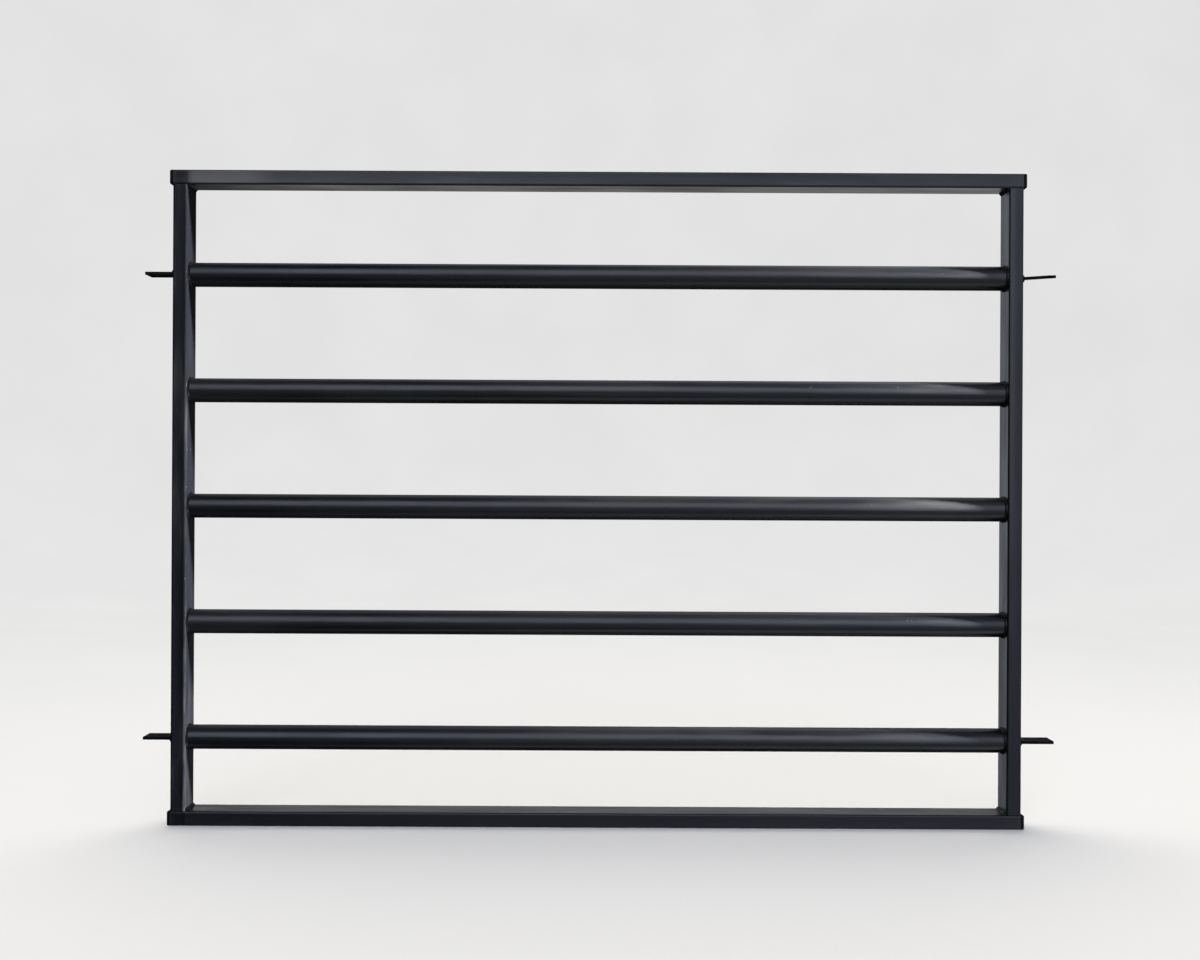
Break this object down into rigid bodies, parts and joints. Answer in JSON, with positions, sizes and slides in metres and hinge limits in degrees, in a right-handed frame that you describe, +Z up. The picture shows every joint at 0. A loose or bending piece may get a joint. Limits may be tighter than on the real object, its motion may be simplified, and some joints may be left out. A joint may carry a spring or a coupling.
{
  "type": "window security bar",
  "caption": "Welded steel window grille: a tubular frame crossed by round horizontal bars, with end caps on its rails and flat wall lugs outside its stiles.",
  "frame": {"origin": "centre of the welded frame: half-way between the stiles' outer faces, between the rails' outer faces and between the front and back faces", "axes": "+X along the rails to the right as seen from the street, +Y from the street side towards the window, +Z up"},
  "size_m": [0.94, 0.03, 0.675],
  "materials": {
    "frame_steel": "satin black powder coat on rectangular steel tube",
    "bar_steel": "satin black powder coat on round steel tube",
    "lug_steel": "satin black powder coat on sheared flat bar",
    "weld_steel": "powder coat over rippled weld beads",
    "cap_plastic": "moulded black polyethylene with a fine grain"
  },
  "bodies": {
    "root": {"top_rail": "frame_steel", "bottom_rail": "frame_steel", "left_stile": "frame_steel", "right_stile": "frame_steel", "bar_1": "bar_steel", "bar_2": "bar_steel", "bar_3": "bar_steel", "bar_4": "bar_steel", "bar_5": "bar_steel", "cap_top_left": "cap_plastic", "cap_top_right": "cap_plastic", "cap_bottom_left": "cap_plastic", "cap_bottom_right": "cap_plastic", "lug_top_left": "lug_steel", "lug_top_right": "lug_steel", "lug_bottom_left": "lug_steel", "lug_bottom_right": "lug_steel", "weld_bar_1_left": "weld_steel", "weld_bar_1_right": "weld_steel", "weld_bar_2_left": "weld_steel", "weld_bar_2_right": "weld_steel", "weld_bar_3_left": "weld_steel", "weld_bar_3_right": "weld_steel", "weld_bar_4_left": "weld_steel", "weld_bar_4_right": "weld_steel", "weld_bar_5_left": "weld_steel", "weld_bar_5_right": "weld_steel", "weld_corner_top_left": "weld_steel", "weld_corner_top_right": "weld_steel", "weld_corner_bottom_left": "weld_steel", "weld_corner_bottom_right": "weld_steel", "weld_lug_top_left": "weld_steel", "weld_lug_top_right": "weld_steel", "weld_lug_bottom_left": "weld_steel", "weld_lug_bottom_right": "weld_steel"}
  },
  "joints": []
}
